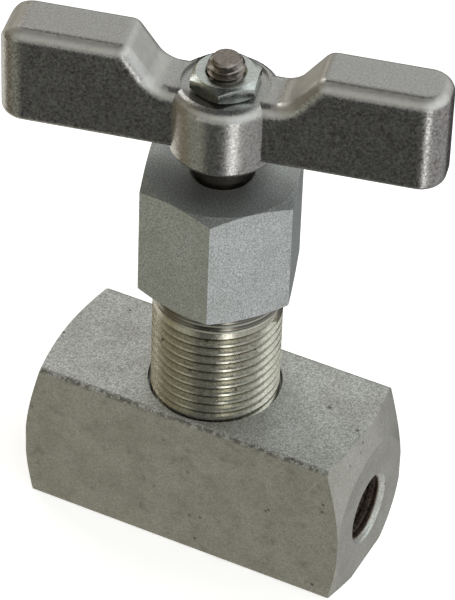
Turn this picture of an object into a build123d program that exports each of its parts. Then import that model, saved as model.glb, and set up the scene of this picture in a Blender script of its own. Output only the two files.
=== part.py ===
from build123d import *
import math
import os

# Needle valve: bar-stock body, panel-threaded bonnet, rising stem with swivel needle, T-handle.
# Millimetres. The origin is the middle of the body's underside, on the stem axis. +X runs along the
# pipe axis to the outlet port and +Z up the stem. The handle is 1 3/8 turns open.

os.makedirs("parts", exist_ok=True)

# Body: one length of rectangular bar with both ends turned about the pipe axis
BODY_WIDTH = 25.4
BODY_HEIGHT = 29.0
BODY_LENGTH = 60.4
BAR_CORNER = 0.7
PIPE_Z = 11.7
END_FLAT_R = 13.0
END_SLOPE = 18.5
END_RIM_R = 21.0

# 1/4 NPT ports
PORT_R = 5.68
PORT_DEPTH = 15.0
PORT_MOUTH_R = 6.6
PORT_PITCH = 1.411
PORT_THREAD_DEPTH = 0.5
PORT_FIRST_GROOVE = 19.2
PORT_THREAD_LENGTH = 10.8
DRILL_POINT = 59.0

# Passages and bonnet chamber inside the body
PASSAGE_R = 2.0
INLET_Z = 8.3
OUTLET_Z = 15.2
CHAMBER_R = 7.2
CHAMBER_FLOOR = 13.0
SEAT_POCKET_R = 4.5
SEAT_POCKET_FLOOR = 10.6
GASKET_LEDGE = 18.0
RECESS_R = 11.62
RECESS_DEPTH = 1.5

# Seat
SEAT_SEAL_HEIGHT = 0.5
SEAT_TOP = 15.0
SEAT_MOUTH_R = 3.0
NEEDLE_HALF_ANGLE = 30.0

# Bonnet: 7/8-14 neck below a 1 inch hexagon
NECK_R = 11.11
NECK_PITCH = 25.4 / 14
NECK_THREAD_DEPTH = 1.0
NECK_FIRST_GROOVE = 17.77
NECK_THREAD_TURNS = 16.0
NECK_BOTTOM = 18.8
UNDERCUT_R = 10.75
UNDERCUT_HEIGHT = 1.1
RUNOUT_HEIGHTS = (48.7, 50.1)
RUNOUT_DEPTH = 0.18
HEX_ACROSS_FLATS = 25.4
HEX_BOTTOM = 52.45
HEX_TOP = 74.6
HEX_FLAT_R = 12.6
HEX_CHAMFER = 22.5
HEX_CORNER_ANGLE = -11.3
THREAD_FIT = 0.02

# Bores up the bonnet
GLAND_BORE_R = 7.5
GLAND_TOP = 26.0
PACKING_BORE_R = 6.35
PACKING_TOP = 36.2
RELIEF_BORE_R = 5.75
STEM_THREAD_BOTTOM = 53.5
BACKSEAT_Z = 70.8
WIPER_GROOVE = (71.9, 73.4)
WIPER_GROOVE_R = 6.4
TOP_CHAMFER = 0.6

# Stem: 7/16-20 drive thread, shown at 1 3/8 turns open
STEM_PITCH = 1.27
TURNS_OPEN = 1.375
TURNS_TO_BACKSEAT = 3.25
CLOSED_GAP = 0.15
RUNNING_FIT = 0.06
SHANK_R = 3.175
STEM_THREAD_R = 5.5
STEM_THREAD_LENGTH = 11.0
STEM_TOP_R = 4.7625
DRIVE_SHOULDER = 81.0
DRIVE_SQUARE = 6.6
DRIVE_TOP = 89.0
STUD_R = 3.1
STUD_PITCH = 1.27
STUD_THREAD_DEPTH = 0.78
STUD_FIRST_GROOVE = 89.78
STUD_THREAD_LENGTH = 8.0
STUD_TIP = 97.75
STUD_TIP_R = 2.2

# Swivel needle in the stem's lower end
NEEDLE_R = 3.0
NEEDLE_TIP_R = 0.5
NEEDLE_SHANK = 2.5
SWIVEL_GAP = 0.1
SPIGOT_R = 2.1
SPIGOT_LENGTH = 4.2
SPIGOT_GROOVE_R = 1.5
SPIGOT_GROOVE_HEIGHT = 1.4
SOCKET_R = 2.2
BALL_R = 1.0
PIN_R = 0.5
PIN_OFFSET = 2.1
PIN_LENGTH = 3.6

# Packing set
CHEVRON_RISE = 0.9
CHEVRON_THICK = 1.5
PACKING_EDGE = 27.6
PACKING_WASHER = 1.2
RING_FIT = 0.045

# T-handle, turned from the pipe axis
HANDLE_ANGLE = 12.75
HANDLE_LENGTH = 74.6
ARM_THICKNESS = 10.95
ARM_BOTTOM = 81.4
ARM_TOP = 99.45
SADDLE_Z = 92.65
SADDLE_LEFT = -10.65
SADDLE_RIGHT = 10.9
SHOULDER_LEFT = -15.65
SHOULDER_RIGHT = 16.25
SADDLE_CURVE = 4.6
SHOULDER_CURVE = 2.4
ARM_END_CURVE = 4.4
LEFT_END_TOP_CURVE = 4.5
ARM_TOP_CURVE = 2.4
ARM_BOTTOM_CURVE = 1.3
HUB_R = 9.3
HUB_RIM_R = 9.0
HUB_RIM_TOP = 82.3
HUB_BOTTOM = 79.9
SPOTFACE_R = 7.4
SPOTFACE_DEPTH = 0.55
STUD_HOLE_R = 3.35
SOCKET_SQUARE = 6.7

# Handle nut, 1/4-20 jam nut
NUT_ACROSS_FLATS = 10.7
NUT_HEIGHT = 2.9
NUT_CORNER_ANGLE = -14.8
NUT_FLAT_R = 4.95
NUT_CHAMFER = 30.0

# Bonnet lock pin, half in the body and half in the neck, behind the bonnet
LOCK_PIN_R = 1.0
LOCK_PIN_Y = 11.4
LOCK_PIN_BOTTOM = 21.0
LOCK_PIN_TOP = 28.6

LIFT = TURNS_OPEN * STEM_PITCH
NEEDLE_SHOULDER = SEAT_TOP + CLOSED_GAP + LIFT
SPIGOT_BOTTOM = NEEDLE_SHOULDER + NEEDLE_SHANK
SPIGOT_TOP = SPIGOT_BOTTOM + SPIGOT_LENGTH
STEM_BOTTOM = SPIGOT_BOTTOM + SWIVEL_GAP
SWIVEL_Z = SPIGOT_BOTTOM + SPIGOT_LENGTH / 2
BALL_Z = SPIGOT_TOP + BALL_R
STEM_THREAD_TOP = BACKSEAT_Z - TURNS_TO_BACKSEAT * STEM_PITCH - SWIVEL_GAP


def turned(outline, mode=Mode.ADD):
    """Revolve a closed outline of (radius, height) points about the stem axis."""
    with BuildSketch(Plane.XZ) as section:
        with BuildLine():
            Polyline(*outline, close=True)
        make_face()
    revolve(section.sketch, axis=Axis.Z, mode=mode)


def ring(inner, outer, bottom, top):
    """A plain turned ring with a rectangular section."""
    turned([(inner, bottom), (outer, bottom), (outer, top), (inner, top)])


def chamfered_hexagon(across_flats, corner_angle, bottom, top, flat_r, slope):
    """A hexagonal prism whose corners are turned off at both ends."""
    with BuildSketch(Plane.XY.offset(bottom)) as hexagon:
        RegularPolygon(across_flats / 2, 6, major_radius=False, rotation=corner_angle)
    extrude(hexagon.sketch, amount=top - bottom)
    outer = across_flats * 0.6
    drop = (outer - flat_r) * math.tan(math.radians(slope))
    turned(
        [
            (0, bottom),
            (flat_r, bottom),
            (outer, bottom + drop),
            (outer, top - drop),
            (flat_r, top),
            (0, top),
        ],
        mode=Mode.INTERSECT,
    )


def thread_groove(start, direction, crest_r, depth, pitch, length, outward):
    """The 60 degree helical groove of a screw thread, for a shaft (outward) or for a hole's wall."""
    with BuildLine() as path:
        Helix(pitch, length, crest_r, center=start, direction=direction)
    begin = path.line @ 0
    radial = (begin - Vector(start)).normalized()
    into = -1 if outward else 1
    half_root = pitch / 16
    beyond = depth / 12
    half_beyond = half_root + (depth + beyond) * math.tan(math.radians(30))
    with BuildSketch(Plane(begin, x_dir=radial, z_dir=path.line % 0)) as groove:
        with BuildLine():
            Polyline(
                (-into * beyond, -half_beyond),
                (-into * beyond, half_beyond),
                (into * depth, half_root),
                (into * depth, -half_root),
                close=True,
            )
        make_face()
    return sweep(groove.sketch, path=path.line, is_frenet=True, mode=Mode.PRIVATE)


def save(piece, name):
    """Label a finished piece and write it out."""
    piece.part.label = name
    export_step(piece.part, f"parts/{name}.step")


# Valve body
end_drop = (END_RIM_R - END_FLAT_R) * math.tan(math.radians(END_SLOPE))
half_length = BODY_LENGTH / 2
port_floor = half_length - PORT_DEPTH
countersink = PORT_MOUTH_R - PORT_R
with BuildPart() as valve_body:
    Box(BODY_LENGTH, BODY_WIDTH, BODY_HEIGHT, align=(Align.CENTER, Align.CENTER, Align.MIN))
    fillet(valve_body.edges().filter_by(Axis.X), BAR_CORNER)
    with BuildSketch(Plane.XZ) as turned_ends:
        with BuildLine():
            Polyline(
                (-half_length, PIPE_Z),
                (-half_length, PIPE_Z + END_FLAT_R),
                (-half_length + end_drop, PIPE_Z + END_RIM_R),
                (half_length - end_drop, PIPE_Z + END_RIM_R),
                (half_length, PIPE_Z + END_FLAT_R),
                (half_length, PIPE_Z),
                close=True,
            )
        make_face()
    revolve(axis=Axis((0, 0, PIPE_Z), (1, 0, 0)), mode=Mode.INTERSECT)
    turned(
        [
            (0, INLET_Z),
            (PASSAGE_R, INLET_Z),
            (PASSAGE_R, SEAT_POCKET_FLOOR),
            (SEAT_POCKET_R, SEAT_POCKET_FLOOR),
            (SEAT_POCKET_R, CHAMBER_FLOOR),
            (CHAMBER_R, CHAMBER_FLOOR),
            (CHAMBER_R, GASKET_LEDGE),
            (NECK_R + THREAD_FIT, GASKET_LEDGE),
            (NECK_R + THREAD_FIT, BODY_HEIGHT - RECESS_DEPTH),
            (RECESS_R, BODY_HEIGHT - RECESS_DEPTH),
            (RECESS_R, BODY_HEIGHT + 1),
            (0, BODY_HEIGHT + 1),
        ],
        mode=Mode.SUBTRACT,
    )
    drill_tip = PORT_R / math.tan(math.radians(DRILL_POINT))
    for side in (-1, 1):
        with BuildSketch(Plane.XZ) as port:
            with BuildLine():
                Polyline(
                    (side * (port_floor - drill_tip), PIPE_Z),
                    (side * port_floor, PIPE_Z + PORT_R),
                    (side * (half_length - countersink), PIPE_Z + PORT_R),
                    (side * half_length, PIPE_Z + PORT_MOUTH_R),
                    (side * (half_length + 1), PIPE_Z + PORT_MOUTH_R + 1),
                    (side * (half_length + 1), PIPE_Z),
                    close=True,
                )
            make_face()
        revolve(axis=Axis((0, 0, PIPE_Z), (1, 0, 0)), mode=Mode.SUBTRACT)
    port_groove = thread_groove(
        (PORT_FIRST_GROOVE, 0, PIPE_Z),
        (1, 0, 0),
        PORT_R,
        PORT_THREAD_DEPTH,
        PORT_PITCH,
        PORT_THREAD_LENGTH,
        outward=False,
    )
    for turn in (0, 180):
        add(port_groove.rotate(Axis.Z, turn), mode=Mode.SUBTRACT)
    with BuildSketch(Plane.YZ.offset(-port_floor - 1)):
        with Locations((0, INLET_Z)):
            Circle(PASSAGE_R)
    extrude(amount=port_floor + 1 + PASSAGE_R, mode=Mode.SUBTRACT)
    with BuildSketch(Plane.YZ.offset(CHAMBER_R - 1)):
        with Locations((0, OUTLET_Z)):
            Circle(PASSAGE_R)
    extrude(amount=port_floor - CHAMBER_R + 2, mode=Mode.SUBTRACT)
    with BuildSketch(Plane.XY.offset(LOCK_PIN_BOTTOM)):
        with Locations((0, LOCK_PIN_Y)):
            Circle(LOCK_PIN_R)
    extrude(amount=BODY_HEIGHT, mode=Mode.SUBTRACT)
save(valve_body, "valve_body")

# Seat insert and the thin seal below it
seat_bottom = SEAT_POCKET_FLOOR + SEAT_SEAL_HEIGHT
seat_cone = (SEAT_MOUTH_R - PASSAGE_R) / math.tan(math.radians(NEEDLE_HALF_ANGLE))
with BuildPart() as seat_insert:
    turned(
        [
            (PASSAGE_R, seat_bottom),
            (SEAT_POCKET_R, seat_bottom),
            (SEAT_POCKET_R, SEAT_TOP - 0.4),
            (SEAT_POCKET_R - 0.4, SEAT_TOP),
            (SEAT_MOUTH_R, SEAT_TOP),
            (PASSAGE_R, SEAT_TOP - seat_cone),
        ]
    )
save(seat_insert, "seat_insert")

with BuildPart() as seat_seal:
    ring(PASSAGE_R + 0.2, SEAT_POCKET_R, SEAT_POCKET_FLOOR, seat_bottom)
save(seat_seal, "seat_seal")

with BuildPart() as bonnet_gasket:
    ring(GLAND_BORE_R + 0.1, NECK_R - 0.4, GASKET_LEDGE, NECK_BOTTOM)
save(bonnet_gasket, "bonnet_gasket")

# Bonnet: hexagon, threaded neck and the stepped bore for packing and stem
top_bore_r = STEM_TOP_R + RUNNING_FIT
with BuildPart() as bonnet:
    chamfered_hexagon(
        HEX_ACROSS_FLATS, HEX_CORNER_ANGLE, HEX_BOTTOM, HEX_TOP, HEX_FLAT_R, HEX_CHAMFER
    )
    turned(
        [
            (0, NECK_BOTTOM),
            (NECK_R - NECK_THREAD_DEPTH, NECK_BOTTOM),
            (NECK_R, NECK_BOTTOM + NECK_THREAD_DEPTH),
            (NECK_R, HEX_BOTTOM - UNDERCUT_HEIGHT - 0.3),
            (UNDERCUT_R, HEX_BOTTOM - UNDERCUT_HEIGHT),
            (UNDERCUT_R, HEX_BOTTOM + 1),
            (0, HEX_BOTTOM + 1),
        ]
    )
    turned(
        [
            (0, NECK_BOTTOM - 1),
            (GLAND_BORE_R, NECK_BOTTOM - 1),
            (GLAND_BORE_R, GLAND_TOP),
            (PACKING_BORE_R, GLAND_TOP),
            (PACKING_BORE_R, PACKING_TOP),
            (RELIEF_BORE_R, PACKING_TOP),
            (RELIEF_BORE_R, STEM_THREAD_BOTTOM),
            (STEM_THREAD_R + RUNNING_FIT, STEM_THREAD_BOTTOM),
            (STEM_THREAD_R + RUNNING_FIT, BACKSEAT_Z),
            (top_bore_r, BACKSEAT_Z),
            (top_bore_r, WIPER_GROOVE[0]),
            (WIPER_GROOVE_R, WIPER_GROOVE[0]),
            (WIPER_GROOVE_R, WIPER_GROOVE[1]),
            (top_bore_r, WIPER_GROOVE[1]),
            (top_bore_r, HEX_TOP - TOP_CHAMFER),
            (top_bore_r + TOP_CHAMFER + 0.1, HEX_TOP + 0.1),
            (0, HEX_TOP + 0.1),
        ],
        mode=Mode.SUBTRACT,
    )
    for height in RUNOUT_HEIGHTS:
        turned(
            [
                (NECK_R + 1, height - 0.4),
                (NECK_R, height - 0.3),
                (NECK_R - RUNOUT_DEPTH, height),
                (NECK_R, height + 0.3),
                (NECK_R + 1, height + 0.4),
            ],
            mode=Mode.SUBTRACT,
        )
    neck_groove = thread_groove(
        (0, 0, NECK_FIRST_GROOVE),
        (0, 0, 1),
        NECK_R,
        NECK_THREAD_DEPTH,
        NECK_PITCH,
        NECK_THREAD_TURNS * NECK_PITCH,
        outward=True,
    )
    add(neck_groove, mode=Mode.SUBTRACT)
    with BuildSketch(Plane.XY.offset(LOCK_PIN_BOTTOM)):
        with Locations((0, LOCK_PIN_Y)):
            Circle(LOCK_PIN_R)
    extrude(amount=BODY_HEIGHT - LOCK_PIN_BOTTOM, mode=Mode.SUBTRACT)
save(bonnet, "bonnet")

with BuildPart() as bonnet_lock_pin:
    with BuildSketch(Plane.XY.offset(LOCK_PIN_BOTTOM)):
        with Locations((0, LOCK_PIN_Y)):
            Circle(LOCK_PIN_R)
    extrude(amount=LOCK_PIN_TOP - LOCK_PIN_BOTTOM)
save(bonnet_lock_pin, "bonnet_lock_pin")

# Packing gland, with a spanner slot across its lower face
ring_bore_r = SHANK_R + RING_FIT
with BuildPart() as packing_gland:
    ring(SHANK_R + 0.3, GLAND_BORE_R, NECK_BOTTOM + 1, GLAND_TOP)
    with BuildSketch(Plane.XY.offset(NECK_BOTTOM)):
        Rectangle(2 * GLAND_BORE_R + 1, 1.6)
    extrude(amount=2.6, mode=Mode.SUBTRACT)
save(packing_gland, "packing_gland")

# Packing: chevron rings between a male and a female adapter
middle_r = (ring_bore_r + PACKING_BORE_R) / 2
with BuildPart() as packing_bottom_adapter:
    turned(
        [
            (ring_bore_r, GLAND_TOP),
            (PACKING_BORE_R, GLAND_TOP),
            (PACKING_BORE_R, PACKING_EDGE),
            (middle_r, PACKING_EDGE + CHEVRON_RISE),
            (ring_bore_r, PACKING_EDGE),
        ]
    )
save(packing_bottom_adapter, "packing_bottom_adapter")

edge = PACKING_EDGE
for position in ("lower", "middle", "upper"):
    with BuildPart() as packing_ring:
        turned(
            [
                (ring_bore_r, edge),
                (middle_r, edge + CHEVRON_RISE),
                (PACKING_BORE_R, edge),
                (PACKING_BORE_R, edge + CHEVRON_THICK),
                (middle_r, edge + CHEVRON_THICK + CHEVRON_RISE),
                (ring_bore_r, edge + CHEVRON_THICK),
            ]
        )
    save(packing_ring, f"packing_ring_{position}")
    edge += CHEVRON_THICK

with BuildPart() as packing_top_adapter:
    turned(
        [
            (ring_bore_r, edge),
            (middle_r, edge + CHEVRON_RISE),
            (PACKING_BORE_R, edge),
            (PACKING_BORE_R, PACKING_TOP - PACKING_WASHER),
            (ring_bore_r, PACKING_TOP - PACKING_WASHER),
        ]
    )
save(packing_top_adapter, "packing_top_adapter")

with BuildPart() as packing_washer:
    ring(ring_bore_r, PACKING_BORE_R, PACKING_TOP - PACKING_WASHER, PACKING_TOP)
save(packing_washer, "packing_washer")

with BuildPart() as stem_wiper:
    ring(STEM_TOP_R + RING_FIT, WIPER_GROOVE_R, WIPER_GROOVE[0], WIPER_GROOVE[1])
save(stem_wiper, "stem_wiper")

# Stem: swivel socket, packing shank, drive thread, square for the handle and stud for its nut
thread_foot = STEM_THREAD_TOP - STEM_THREAD_LENGTH
with BuildPart() as stem:
    turned(
        [
            (0, STEM_BOTTOM),
            (SHANK_R - 0.4, STEM_BOTTOM),
            (SHANK_R, STEM_BOTTOM + 0.4),
            (SHANK_R, thread_foot - 2.5),
            (STEM_TOP_R, thread_foot - 1),
            (STEM_THREAD_R, thread_foot),
            (STEM_THREAD_R, STEM_THREAD_TOP),
            (STEM_TOP_R, STEM_THREAD_TOP),
            (STEM_TOP_R, DRIVE_SHOULDER),
            (0, DRIVE_SHOULDER),
        ]
    )
    with BuildSketch(Plane.XY.offset(DRIVE_SHOULDER)):
        Rectangle(DRIVE_SQUARE, DRIVE_SQUARE, rotation=HANDLE_ANGLE)
    extrude(amount=DRIVE_TOP - DRIVE_SHOULDER)
    turned(
        [
            (0, DRIVE_TOP),
            (STUD_R, DRIVE_TOP),
            (STUD_R, STUD_TIP - 1.1),
            (STUD_TIP_R, STUD_TIP),
            (0, STUD_TIP),
        ]
    )
    turned(
        [(0, STEM_BOTTOM), (SOCKET_R, STEM_BOTTOM), (SOCKET_R, BALL_Z + BALL_R), (0, BALL_Z + BALL_R)],
        mode=Mode.SUBTRACT,
    )
    with BuildSketch(Plane.XZ):
        with Locations((-PIN_OFFSET, SWIVEL_Z), (PIN_OFFSET, SWIVEL_Z)):
            Circle(PIN_R)
    extrude(amount=SHANK_R + 1, both=True, mode=Mode.SUBTRACT)
    stud_groove = thread_groove(
        (0, 0, STUD_FIRST_GROOVE),
        (0, 0, 1),
        STUD_R,
        STUD_THREAD_DEPTH,
        STUD_PITCH,
        STUD_THREAD_LENGTH,
        outward=True,
    )
    add(stud_groove, mode=Mode.SUBTRACT)
save(stem, "stem")

# Needle: cone, shoulder and a grooved spigot that swivels in the stem
cone_height = (NEEDLE_R - NEEDLE_TIP_R) / math.tan(math.radians(NEEDLE_HALF_ANGLE))
with BuildPart() as needle:
    turned(
        [
            (0, NEEDLE_SHOULDER - cone_height),
            (NEEDLE_TIP_R, NEEDLE_SHOULDER - cone_height),
            (NEEDLE_R, NEEDLE_SHOULDER),
            (NEEDLE_R, SPIGOT_BOTTOM),
            (SPIGOT_R, SPIGOT_BOTTOM),
            (SPIGOT_R, SWIVEL_Z - SPIGOT_GROOVE_HEIGHT / 2),
            (SPIGOT_GROOVE_R, SWIVEL_Z - SPIGOT_GROOVE_HEIGHT / 2),
            (SPIGOT_GROOVE_R, SWIVEL_Z + SPIGOT_GROOVE_HEIGHT / 2),
            (SPIGOT_R, SWIVEL_Z + SPIGOT_GROOVE_HEIGHT / 2),
            (SPIGOT_R, SPIGOT_TOP - SWIVEL_GAP),
            (0, SPIGOT_TOP - SWIVEL_GAP),
        ]
    )
save(needle, "needle")

with BuildPart() as thrust_ball:
    with Locations((0, 0, BALL_Z)):
        Sphere(BALL_R)
save(thrust_ball, "thrust_ball")

with BuildPart() as swivel_pins:
    with BuildSketch(Plane.XZ):
        with Locations((-PIN_OFFSET, SWIVEL_Z), (PIN_OFFSET, SWIVEL_Z)):
            Circle(PIN_R)
    extrude(amount=PIN_LENGTH / 2, both=True)
save(swivel_pins, "swivel_pins")

# T-handle: saddle-backed bar through a round hub, made straight along X and then turned to its angle
half_span = HANDLE_LENGTH / 2
with BuildPart() as straight_handle:
    with BuildSketch(Plane.XZ) as bar_side:
        with BuildLine():
            FilletPolyline(
                (-half_span, ARM_BOTTOM),
                (-half_span, ARM_TOP),
                (SHOULDER_LEFT, ARM_TOP),
                (SADDLE_LEFT, SADDLE_Z),
                (SADDLE_RIGHT, SADDLE_Z),
                (SHOULDER_RIGHT, ARM_TOP),
                (half_span, ARM_TOP),
                (half_span, ARM_BOTTOM),
                radius=[0, SHOULDER_CURVE, SADDLE_CURVE, SADDLE_CURVE, SHOULDER_CURVE, 0],
            )
            Line((half_span, ARM_BOTTOM), (-half_span, ARM_BOTTOM))
        make_face()
    extrude(amount=ARM_THICKNESS / 2, both=True)
    corners = straight_handle.edges().filter_by(Axis.Z)
    fillet(corners, ARM_END_CURVE)
    lower = straight_handle.edges().filter_by(lambda e: abs(e.center().Z - ARM_BOTTOM) < 0.01)
    fillet(lower, ARM_BOTTOM_CURVE)
    turned(
        [
            (0, HUB_BOTTOM),
            (HUB_RIM_R - 0.6, HUB_BOTTOM),
            (HUB_RIM_R - 0.15, HUB_BOTTOM + 0.2),
            (HUB_RIM_R, HUB_BOTTOM + 0.6),
            (HUB_RIM_R, HUB_RIM_TOP),
            (HUB_R, HUB_RIM_TOP + 0.1),
            (HUB_R, SADDLE_Z),
            (0, SADDLE_Z),
        ]
    )
    not_across = straight_handle.edges().filter_by(Axis.Y, reverse=True)
    upper = not_across.filter_by(
        lambda e: e.center().Z > (ARM_TOP + ARM_BOTTOM) / 2 + 1 and e.bounding_box().min.Z > SADDLE_Z - 0.1
    )
    fillet(upper, ARM_TOP_CURVE)
    with BuildSketch(Plane.XZ):
        with BuildLine():
            Polyline(
                (-half_span, ARM_TOP - LEFT_END_TOP_CURVE),
                (-half_span - 1, ARM_TOP - LEFT_END_TOP_CURVE),
                (-half_span - 1, ARM_TOP + 1),
                (LEFT_END_TOP_CURVE - half_span, ARM_TOP + 1),
                (LEFT_END_TOP_CURVE - half_span, ARM_TOP),
            )
            RadiusArc(
                (-half_span, ARM_TOP - LEFT_END_TOP_CURVE),
                (LEFT_END_TOP_CURVE - half_span, ARM_TOP),
                LEFT_END_TOP_CURVE,
            )
        make_face()
    extrude(amount=ARM_THICKNESS, both=True, mode=Mode.SUBTRACT)
    turned(
        [
            (0, HUB_BOTTOM - 1),
            (STEM_TOP_R + THREAD_FIT, HUB_BOTTOM - 1),
            (STEM_TOP_R + THREAD_FIT, DRIVE_SHOULDER),
            (0, DRIVE_SHOULDER),
        ],
        mode=Mode.SUBTRACT,
    )
    with BuildSketch(Plane.XY.offset(DRIVE_SHOULDER)):
        Rectangle(SOCKET_SQUARE, SOCKET_SQUARE)
    extrude(amount=DRIVE_TOP - DRIVE_SHOULDER + 0.1, mode=Mode.SUBTRACT)
    with BuildSketch(Plane.XY.offset(DRIVE_TOP)):
        Circle(STUD_HOLE_R)
    extrude(amount=SADDLE_Z - DRIVE_TOP + 1, mode=Mode.SUBTRACT)
    with BuildSketch(Plane.XY.offset(SADDLE_Z - SPOTFACE_DEPTH)):
        Circle(SPOTFACE_R)
    extrude(amount=SPOTFACE_DEPTH + 1, mode=Mode.SUBTRACT)

with BuildPart() as t_handle:
    add(straight_handle.part.rotate(Axis.Z, HANDLE_ANGLE))
save(t_handle, "t_handle")

# Handle nut, bearing on the spot-face
nut_bottom = SADDLE_Z - SPOTFACE_DEPTH
with BuildPart() as handle_nut:
    chamfered_hexagon(
        NUT_ACROSS_FLATS,
        NUT_CORNER_ANGLE,
        nut_bottom,
        nut_bottom + NUT_HEIGHT,
        NUT_FLAT_R,
        NUT_CHAMFER,
    )
    nut_top = nut_bottom + NUT_HEIGHT
    turned(
        [
            (0, nut_bottom - 1),
            (STUD_R + THREAD_FIT, nut_bottom - 1),
            (STUD_R + THREAD_FIT, nut_top - 0.3),
            (STUD_R + 0.5, nut_top + 0.1),
            (0, nut_top + 0.1),
        ],
        mode=Mode.SUBTRACT,
    )
save(handle_nut, "handle_nut")
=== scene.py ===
import bpy
import math
from mathutils import Matrix, Vector

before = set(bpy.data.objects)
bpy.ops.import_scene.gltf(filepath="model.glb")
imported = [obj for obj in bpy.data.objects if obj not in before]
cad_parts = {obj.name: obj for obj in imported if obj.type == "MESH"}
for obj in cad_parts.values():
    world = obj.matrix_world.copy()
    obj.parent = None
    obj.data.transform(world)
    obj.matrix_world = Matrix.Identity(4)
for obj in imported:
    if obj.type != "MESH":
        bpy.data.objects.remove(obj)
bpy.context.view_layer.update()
MM = 0.001

# Places on the valve, in millimetres. The stem axis is the Z axis and the bar's underside is z = 0.
BAR_HALF_WIDTH = 12.7
BAR_TOP = 29.0
BAR_HALF_LENGTH = 30.2
PIPE_Z = 11.7
PORT_R = 6.7
NECK_R = 11.1
RELIEF_BOTTOM = 48.4
NECK_TOP = 51.3
BONNET_TOP = 74.6
STEM_SHOULDER = 81.0
HUB_R = 9.3
SPOTFACE_Z = 92.1


# ---------------------------------------------------------------- node helpers
class Look:
    """One procedural material on a Principled shader, built up socket by socket."""

    def __init__(self, name, metallic, roughness):
        self.material = bpy.data.materials.new(name)
        self.material.use_nodes = True
        self.tree = self.material.node_tree
        self.shader = next(n for n in self.tree.nodes if n.type == "BSDF_PRINCIPLED")
        self.shader.inputs["Metallic"].default_value = metallic
        self.shader.inputs["Roughness"].default_value = roughness
        self.coords = self.tree.nodes.new("ShaderNodeTexCoord")

    def join(self, value, socket):
        """Feed a socket from another socket, a number or a colour."""
        if isinstance(value, bpy.types.NodeSocket):
            self.tree.links.new(value, socket)
        elif isinstance(value, (tuple, list)) and len(value) == 3 and socket.type == "RGBA":
            socket.default_value = (*value, 1.0)
        else:
            socket.default_value = value

    def place(self):
        return self.coords.outputs["Object"]

    def split(self, vector):
        node = self.tree.nodes.new("ShaderNodeSeparateXYZ")
        self.join(vector, node.inputs[0])
        return node.outputs

    def noise(self, size_mm, detail=3.0, rough=0.55):
        """Noise with features of about size_mm."""
        node = self.tree.nodes.new("ShaderNodeTexNoise")
        self.join(self.place(), node.inputs["Vector"])
        node.inputs["Scale"].default_value = 1.0 / (size_mm * MM)
        node.inputs["Detail"].default_value = detail
        node.inputs["Roughness"].default_value = rough
        return node.outputs[0]

    def cells(self, size_mm):
        """Distance to scattered points about size_mm apart, for specks."""
        node = self.tree.nodes.new("ShaderNodeTexVoronoi")
        self.join(self.place(), node.inputs["Vector"])
        node.inputs["Scale"].default_value = 1.0 / (size_mm * MM)
        return node.outputs["Distance"]

    def band(self, value, low, high, out_low=0.0, out_high=1.0):
        """Map value smoothly from low..high to out_low..out_high, clamped."""
        node = self.tree.nodes.new("ShaderNodeMapRange")
        node.interpolation_type = "SMOOTHSTEP"
        self.join(value, node.inputs["Value"])
        for key, number in (
            ("From Min", low),
            ("From Max", high),
            ("To Min", out_low),
            ("To Max", out_high),
        ):
            node.inputs[key].default_value = number
        return node.outputs["Result"]

    def calc(self, operation, a, b=0.0):
        node = self.tree.nodes.new("ShaderNodeMath")
        node.operation = operation
        self.join(a, node.inputs[0])
        self.join(b, node.inputs[1])
        return node.outputs[0]

    def mix(self, share, a, b):
        """Blend from colour a to colour b by share."""
        node = self.tree.nodes.new("ShaderNodeMix")
        node.data_type = "RGBA"
        self.join(share, node.inputs["Factor"])
        self.join(a, node.inputs[6])
        self.join(b, node.inputs[7])
        return node.outputs[2]

    def bump(self, height, depth_mm, strength):
        node = self.tree.nodes.new("ShaderNodeBump")
        node.inputs["Strength"].default_value = strength
        node.inputs["Distance"].default_value = depth_mm * MM
        self.join(height, node.inputs["Height"])
        self.tree.links.new(node.outputs["Normal"], self.shader.inputs["Normal"])

    def colour(self, value):
        self.join(value, self.shader.inputs["Base Color"])

    def roughness(self, value):
        self.join(value, self.shader.inputs["Roughness"])

    def length(self, a, b):
        """Length of the vector with components a and b."""
        squares = self.calc("ADD", self.calc("MULTIPLY", a, a), self.calc("MULTIPLY", b, b))
        return self.calc("SQRT", squares)

    def radius(self):
        """Distance from the stem axis, in metres."""
        x, y, _ = self.split(self.place())
        return self.length(x, y)

    def lathe(self, pitch_mm):
        """Fine turning lines round the stem axis."""
        wave = self.calc("MULTIPLY", self.radius(), 2 * math.pi / (pitch_mm * MM))
        return self.calc("SINE", wave)


def grain(look, size_mm, dark, light, spread=(0.35, 0.65)):
    """Blasted-surface grain: a fine mottle between two tones."""
    fine = look.noise(size_mm, 4.0, 0.6)
    return look.mix(look.band(fine, spread[0], spread[1]), dark, light)


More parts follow.
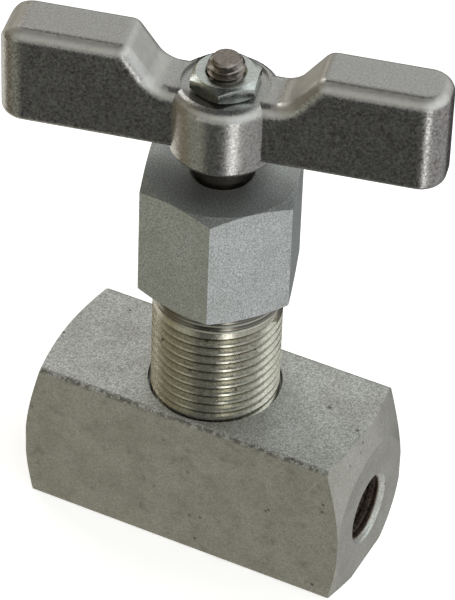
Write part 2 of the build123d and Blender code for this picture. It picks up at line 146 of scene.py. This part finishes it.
# ---------------------------------------------------------------- materials
def body_look():
    look = Look("blasted_zinc_body", 0.85, 0.5)
    x, y, z = look.split(look.place())
    nx, ny, _ = look.split(look.coords.outputs["Normal"])
    top = grain(look, 0.26, (0.34, 0.35, 0.33), (0.66, 0.68, 0.65), (0.38, 0.62))
    flank = grain(look, 0.3, (0.35, 0.345, 0.31), (0.54, 0.535, 0.49), (0.32, 0.68))
    end = grain(look, 0.35, (0.37, 0.37, 0.335), (0.51, 0.51, 0.465), (0.3, 0.7))
    side = look.band(look.calc("ABSOLUTE", ny), 0.75, 0.95)
    face = look.band(look.calc("ABSOLUTE", nx), 0.6, 0.9)
    colour = look.mix(side, top, flank)
    colour = look.mix(face, colour, end)
    cloud = look.band(look.noise(6.0, 4.0, 0.6), 0.35, 0.7, 0.0, 0.26)
    colour = look.mix(cloud, colour, (0.20, 0.185, 0.145))
    smudge = look.calc("MULTIPLY", look.band(look.noise(2.4, 4.0, 0.65), 0.55, 0.72, 0.0, 0.35), side)
    colour = look.mix(smudge, colour, (0.16, 0.145, 0.11))
    edge_y = look.band(look.calc("ABSOLUTE", y), (BAR_HALF_WIDTH - 1.0) * MM, (BAR_HALF_WIDTH - 0.2) * MM)
    edge_z = look.band(z, (BAR_TOP - 1.1) * MM, (BAR_TOP - 0.2) * MM)
    edge = look.calc("MULTIPLY", edge_y, edge_z)
    spots = look.band(look.noise(0.9, 3.0, 0.65), 0.42, 0.58)
    dirt = look.calc("MULTIPLY", edge, spots)
    colour = look.mix(look.calc("MULTIPLY", dirt, 0.8), colour, (0.07, 0.06, 0.045))
    fleck = look.band(look.cells(2.6), 0.10, 0.16, 0.75, 0.0)
    fleck = look.calc("MULTIPLY", fleck, look.band(look.noise(5.0, 2.0), 0.5, 0.62))
    colour = look.mix(fleck, colour, (0.09, 0.08, 0.06))
    off_axis = look.length(y, look.calc("SUBTRACT", z, PIPE_Z * MM))
    in_port = look.band(off_axis, (PORT_R + 0.05) * MM, (PORT_R - 0.1) * MM)
    mouth = look.band(look.calc("ABSOLUTE", x), (BAR_HALF_LENGTH - 0.95) * MM, (BAR_HALF_LENGTH - 0.6) * MM)
    bore = look.calc("MULTIPLY", in_port, look.calc("SUBTRACT", 1.0, mouth))
    # Darker brown grain inside the port bore, stopping short of its mouth.
    bore_dark_grain = grain(look, 0.5, (0.05, 0.035, 0.025), (0.20, 0.16, 0.12))
    colour = look.mix(bore, colour, bore_dark_grain)
    look.colour(colour)
    look.roughness(look.band(look.noise(0.3, 2.0), 0.2, 0.8, 0.40, 0.62))
    look.bump(look.noise(0.25, 3.0), 0.045, 0.7)
    return look.material


def bonnet_look():
    look = Look("blasted_zinc_bonnet", 0.85, 0.5)
    x, y, z = look.split(look.place())
    hexagon = grain(look, 0.26, (0.29, 0.31, 0.305), (0.54, 0.57, 0.57), (0.38, 0.62))
    cloud = look.band(look.noise(5.0, 3.0), 0.3, 0.7, 0.0, 0.2)
    hexagon = look.mix(cloud, hexagon, (0.25, 0.25, 0.21))
    # Painted shadow of the handle hub on the hex top: dark round the stem, centred a little off the axis
    # and fading outwards.
    from_shadow_centre = look.length(look.calc("ADD", x, 2.0 * MM), look.calc("ADD", y, 1.2 * MM))
    shadow_falloff = look.band(from_shadow_centre, 6.8 * MM, 12.2 * MM, 0.95, 0.0)
    on_top = look.band(z, (BONNET_TOP - 0.6) * MM, (BONNET_TOP + 0.9) * MM)
    painted_shadow = look.calc("MULTIPLY", shadow_falloff, on_top)
    hexagon = look.mix(painted_shadow, hexagon, (0.03, 0.028, 0.024))
    groove = look.band(look.radius(), (NECK_R - 0.95) * MM, (NECK_R - 0.5) * MM)
    crest = grain(look, 0.5, (0.40, 0.39, 0.32), (0.56, 0.55, 0.47), (0.3, 0.7))
    thread = look.mix(groove, (0.11, 0.10, 0.07), crest)
    # Painted shade on the smooth relief band under the hex, where the hex shadows the neck, crossed by
    # faint lighter lines.
    lines = look.calc("SINE", look.calc("MULTIPLY", z, 2 * math.pi / (0.7 * MM)))
    lines = look.band(lines, 0.5, 0.9, 0.0, 0.4)
    shaded_relief = look.mix(lines, (0.13, 0.125, 0.105), (0.42, 0.42, 0.36))
    wear = look.band(look.cells(3.1), 0.08, 0.13, 0.8, 0.0)
    thread = look.mix(wear, thread, (0.09, 0.08, 0.06))
    in_relief = look.band(z, (RELIEF_BOTTOM - 0.5) * MM, (RELIEF_BOTTOM + 0.5) * MM)
    thread = look.mix(in_relief, thread, shaded_relief)
    neck = look.band(z, (NECK_TOP + 0.1) * MM, (NECK_TOP - 0.1) * MM)
    look.colour(look.mix(neck, hexagon, thread))
    rough = look.band(look.noise(0.3, 2.0), 0.2, 0.8, 0.40, 0.62)
    smooth = look.band(look.noise(0.8, 2.0), 0.2, 0.8, 0.17, 0.30)
    blend = look.tree.nodes.new("ShaderNodeMix")
    look.join(neck, blend.inputs["Factor"])
    look.join(rough, blend.inputs[2])
    look.join(smooth, blend.inputs[3])
    look.roughness(blend.outputs[0])
    look.bump(look.noise(0.25, 3.0), 0.02, 0.5)
    return look.material


def handle_look():
    look = Look("tumbled_die_casting", 0.9, 0.4)
    nz = look.split(look.coords.outputs["Normal"])[2]
    _, y, z = look.split(look.place())
    skin = grain(look, 0.4, (0.17, 0.165, 0.16), (0.38, 0.375, 0.365), (0.38, 0.62))
    worn = grain(look, 0.35, (0.31, 0.31, 0.30), (0.435, 0.435, 0.42), (0.3, 0.7))
    up = look.band(nz, 0.15, 0.6)
    scuff = look.band(look.noise(3.0, 4.0, 0.6), 0.35, 0.75, 0.0, 0.25)
    colour = look.mix(look.calc("MAXIMUM", up, scuff), skin, worn)
    on_hub = look.band(look.radius(), HUB_R * MM, (HUB_R + 0.4) * MM, 1.0, 0.0)
    colour = look.mix(look.calc("MULTIPLY", on_hub, 0.35), colour, worn)
    stain = look.band(look.noise(1.4, 4.0, 0.65), 0.56, 0.7, 0.0, 0.6)
    stain = look.calc("MULTIPLY", stain, look.band(look.calc("ABSOLUTE", nz), 0.35, 0.6, 1.0, 0.0))
    colour = look.mix(stain, colour, (0.10, 0.075, 0.06))
    # Lighter fillets between tops and flanks: on the arms partly edge wear and partly painted highlight, on
    # the hub rim a narrow painted highlight line.
    arm_edge_wear_and_highlight = look.calc("MULTIPLY", look.band(nz, 0.97, 0.9), look.band(nz, 0.35, 0.6))
    hub_rim_highlight = look.calc("MULTIPLY", look.band(nz, 0.84, 0.74), look.band(nz, 0.5, 0.62))
    edge = look.calc(
        "ADD",
        look.calc("MULTIPLY", hub_rim_highlight, on_hub),
        look.calc("MULTIPLY", arm_edge_wear_and_highlight, look.calc("SUBTRACT", 1.0, on_hub)),
    )
    polish_and_sheen = look.band(look.noise(1.0, 3.0), 0.3, 0.7, 0.55, 1.0)
    colour = look.mix(look.calc("MULTIPLY", edge, polish_and_sheen), colour, (0.50, 0.49, 0.465))
    near_nut = look.band(look.radius(), 6.2 * MM, 8.8 * MM, 0.7, 0.0)
    in_front = look.band(y, -5.0 * MM, -3.4 * MM, 1.0, 0.0)
    on_saddle = look.band(z, (SPOTFACE_Z - 0.7) * MM, (SPOTFACE_Z - 0.3) * MM)
    shade = look.calc("MULTIPLY", look.calc("MULTIPLY", near_nut, in_front), on_saddle)
    colour = look.mix(shade, colour, (0.07, 0.065, 0.06))
    look.colour(colour)
    rough = look.band(look.noise(0.5, 3.0), 0.25, 0.75, 0.22, 0.36)
    look.roughness(look.calc("ADD", rough, look.calc("MULTIPLY", edge, 0.18)))
    look.bump(look.noise(0.45, 4.0, 0.6), 0.03, 0.6)
    return look.material


def plated_look(name, dark, light, rough_low, rough_high, shaded_below=None):
    """Bright plated or machined steel with faint turning lines, with painted shade below a height if one is
    given.
    """
    look = Look(name, 1.0, rough_low)
    colour = grain(look, 0.6, dark, light, (0.3, 0.7))
    if shaded_below is not None:
        height = look.split(look.place())[2]
        # Painted shade on the stem below the given height, where the handle hub shadows it.
        painted_shade = look.band(height, shaded_below * MM, (shaded_below + 0.5) * MM, 0.8, 0.0)
        colour = look.mix(painted_shade, colour, (0.075, 0.065, 0.055))
    look.colour(colour)
    look.roughness(look.band(look.noise(1.2, 3.0), 0.25, 0.75, rough_low, rough_high))
    lines = look.calc("MULTIPLY", look.lathe(0.12), 0.5)
    look.bump(look.calc("ADD", lines, look.noise(0.4, 2.0)), 0.006, 0.5)
    return look.material


def plastic_look(name, dark, light, roughness):
    look = Look(name, 0.0, roughness)
    look.colour(grain(look, 0.8, dark, light, (0.3, 0.7)))
    look.roughness(look.band(look.noise(0.7, 3.0), 0.25, 0.75, roughness, roughness + 0.15))
    look.bump(look.noise(0.5, 3.0), 0.01, 0.5)
    return look.material


LOOKS = {
    "valve_body": body_look(),
    "bonnet": bonnet_look(),
    "t_handle": handle_look(),
    "handle_nut": plated_look("blue_zinc", (0.42, 0.455, 0.43), (0.55, 0.58, 0.555), 0.16, 0.28),
    "stem": plated_look(
        "stem_steel", (0.17, 0.15, 0.13), (0.29, 0.26, 0.235), 0.24, 0.4, shaded_below=STEM_SHOULDER
    ),
    "needle": plated_look("needle_steel", (0.50, 0.50, 0.48), (0.66, 0.66, 0.64), 0.14, 0.26),
    "seat_insert": plated_look("seat_steel", (0.45, 0.45, 0.43), (0.60, 0.60, 0.58), 0.22, 0.38),
    "packing_gland": plated_look("gland_steel", (0.38, 0.38, 0.36), (0.52, 0.52, 0.50), 0.3, 0.45),
    "thrust_ball": plated_look("ball_steel", (0.62, 0.62, 0.61), (0.72, 0.72, 0.71), 0.06, 0.14),
    "swivel_pins": plated_look("pin_steel", (0.30, 0.30, 0.30), (0.42, 0.42, 0.42), 0.25, 0.4),
    "seat_seal": plastic_look("white_fluoropolymer", (0.72, 0.71, 0.67), (0.84, 0.83, 0.79), 0.4),
    "packing_bottom_adapter": plastic_look(
        "filled_fluoropolymer", (0.34, 0.31, 0.25), (0.46, 0.43, 0.36), 0.45
    ),
    "stem_wiper": plastic_look("black_rubber", (0.012, 0.012, 0.012), (0.03, 0.03, 0.03), 0.5),
}
SAME_AS = {
    "bonnet_lock_pin": "swivel_pins",
    "packing_washer": "packing_gland",
    "packing_top_adapter": "packing_bottom_adapter",
    "packing_ring_lower": "seat_seal",
    "packing_ring_middle": "seat_seal",
    "packing_ring_upper": "seat_seal",
    "bonnet_gasket": "seat_seal",
}
for node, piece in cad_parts.items():
    piece.data.materials.clear()
    piece.data.materials.append(LOOKS[SAME_AS.get(node, node)])


# ---------------------------------------------------------------- stage and light
FLOOR_REACH = 6.0
FLOOR_DROP = 0.0002
floor_mesh = bpy.data.meshes.new("floor")
floor_mesh.from_pydata(
    [(x * FLOOR_REACH, y * FLOOR_REACH, 0) for x, y in ((-1, -1), (1, -1), (1, 1), (-1, 1))],
    [],
    [(0, 1, 2, 3)],
)
floor = bpy.data.objects.new("floor", floor_mesh)
bpy.context.scene.collection.objects.link(floor)
paper = Look("white_paper", 0.0, 0.9)
paper.colour(paper.mix(paper.noise(300.0), (0.93, 0.93, 0.93), (0.95, 0.95, 0.95)))
paper.shader.inputs["Emission Color"].default_value = (1.0, 1.0, 1.0, 1.0)
paper.shader.inputs["Emission Strength"].default_value = 0.55
floor_mesh.materials.append(paper.material)
floor.location.z = -FLOOR_DROP
floor.visible_glossy = False
floor.visible_diffuse = False
floor.visible_shadow = False

world = bpy.data.worlds.new("studio")
bpy.context.scene.world = world
world.use_nodes = True
tree = world.node_tree
background = next(n for n in tree.nodes if n.type == "BACKGROUND")
sky = tree.nodes.new("ShaderNodeTexCoord")
parts = tree.nodes.new("ShaderNodeSeparateXYZ")
tree.links.new(sky.outputs["Generated"], parts.inputs[0])


def world_calc(operation, a, b=0.0):
    node = tree.nodes.new("ShaderNodeMath")
    node.operation = operation
    for value, socket in ((a, node.inputs[0]), (b, node.inputs[1])):
        if isinstance(value, bpy.types.NodeSocket):
            tree.links.new(value, socket)
        else:
            socket.default_value = value
    return node.outputs[0]


def world_band(value, low, high, out_low, out_high):
    node = tree.nodes.new("ShaderNodeMapRange")
    node.interpolation_type = "SMOOTHSTEP"
    tree.links.new(value, node.inputs["Value"])
    for key, number in (
        ("From Min", low),
        ("From Max", high),
        ("To Min", out_low),
        ("To Max", out_high),
    ):
        node.inputs[key].default_value = number
    return node.outputs["Result"]


PANEL_EDGE = 0.08  # softness of a panel's lower and upper edge, as a sine of elevation


def panel(centre, half_width, soft, low, high):
    """A soft panel of light round one azimuth, between two heights on the unit sphere."""
    turn = math.radians(centre)
    x, y, z = parts.outputs
    along = world_calc(
        "ADD", world_calc("MULTIPLY", x, math.cos(turn)), world_calc("MULTIPLY", y, math.sin(turn))
    )
    across = world_calc(
        "SUBTRACT", world_calc("MULTIPLY", y, math.cos(turn)), world_calc("MULTIPLY", x, math.sin(turn))
    )
    turned = world_calc("ABSOLUTE", world_calc("ARCTAN2", across, along))
    inner, outer = math.radians(half_width - soft), math.radians(half_width + soft)
    window = world_band(turned, inner, outer, 1.0, 0.0)
    lower_edge = world_band(z, low - PANEL_EDGE, low + PANEL_EDGE, 0.0, 1.0)
    window = world_calc("MULTIPLY", window, lower_edge)
    upper_edge = world_band(z, high - PANEL_EDGE, high + PANEL_EDGE, 1.0, 0.0)
    return world_calc("MULTIPLY", window, upper_edge)


# Panels: centre azimuth, half width, edge softness (degrees), low and high sine of elevation, radiance
PANELS = {
    "low_right": (10, 52, 6, -1.1, 0.05, (0.66, 0.64, 0.64)),
    "low_strip": (-46, 7, 4, -1.1, 0.05, (3.4, 3.4, 3.35)),
    "low_camera": (-78, 26, 6, -1.1, -0.12, (0.03, 0.03, 0.03)),
    "low_front": (-121, 17, 6, -1.1, 0.05, (0.5, 0.5, 0.41)),
    "low_left": (-156, 18, 6, -1.1, 0.05, (0.36, 0.31, 0.21)),
    "low_far_left": (165, 21, 6, -1.1, 0.05, (1.4, 1.35, 1.22)),
    "low_back": (103, 41, 6, -1.1, 0.05, (0.02, 0.02, 0.02)),
    "high_right": (0, 55, 12, 0.05, 0.87, (1.42, 1.48, 1.5)),
    "high_front": (-90, 35, 12, -0.12, 0.87, (0.69, 0.69, 0.65)),
    "high_left": (180, 55, 12, 0.05, 0.87, (0.29, 0.25, 0.17)),
    "high_back": (90, 35, 12, 0.05, 0.87, (0.88, 0.88, 0.87)),
    "zenith": (0, 200, 6, 0.87, 1.2, (0.05, 0.05, 0.05)),
}
glow = None
for centre, half_width, soft, low, high, radiance in PANELS.values():
    scaled = tree.nodes.new("ShaderNodeVectorMath")
    scaled.operation = "SCALE"
    scaled.inputs[0].default_value = radiance
    tree.links.new(panel(centre, half_width, soft, low, high), scaled.inputs["Scale"])
    if glow is None:
        glow = scaled.outputs[0]
        continue
    total = tree.nodes.new("ShaderNodeVectorMath")
    tree.links.new(glow, total.inputs[0])
    tree.links.new(scaled.outputs[0], total.inputs[1])
    glow = total.outputs[0]
tree.links.new(glow, background.inputs["Color"])
background.inputs["Strength"].default_value = 1.0

SOFTBOX_PLACE = Vector((-0.65, 0.35, 0.75))
VALVE_MIDDLE = Vector((0.0, 0.0, 0.05))
light = bpy.data.lights.new("top_left", "AREA")
light.shape = "RECTANGLE"
light.size = 0.4
light.size_y = 0.4
light.energy = 1.6
softbox = bpy.data.objects.new("top_left", light)
bpy.context.scene.collection.objects.link(softbox)
softbox.location = SOFTBOX_PLACE
softbox.rotation_euler = (VALVE_MIDDLE - SOFTBOX_PLACE).to_track_quat("-Z", "Y").to_euler()

bpy.context.scene.view_settings.view_transform = "Standard"
bpy.context.scene.view_settings.look = "None"

# ---------------------------------------------------------------- camera
YAW = math.radians(-25.383)
PITCH = math.radians(40.312)
ROLL = math.radians(2.176)
CAMERA_PLACE = (0.222505, -0.465181, 0.484002)
forward = Vector((math.sin(YAW) * math.cos(PITCH), math.cos(YAW) * math.cos(PITCH), -math.sin(PITCH)))
level = Vector((math.cos(YAW), -math.sin(YAW), 0))
upright = level.cross(forward)
right = level * math.cos(ROLL) + upright * math.sin(ROLL)
up = -level * math.sin(ROLL) + upright * math.cos(ROLL)
lens = bpy.data.cameras.new("camera")
lens.lens = 240
lens.sensor_width = 36
lens.clip_start = 0.01
lens.clip_end = 50
camera = bpy.data.objects.new("camera", lens)
bpy.context.scene.collection.objects.link(camera)
axes = Matrix((right, up, -forward)).transposed().to_4x4()
camera.matrix_world = Matrix.Translation(CAMERA_PLACE) @ axes
bpy.context.scene.camera = camera
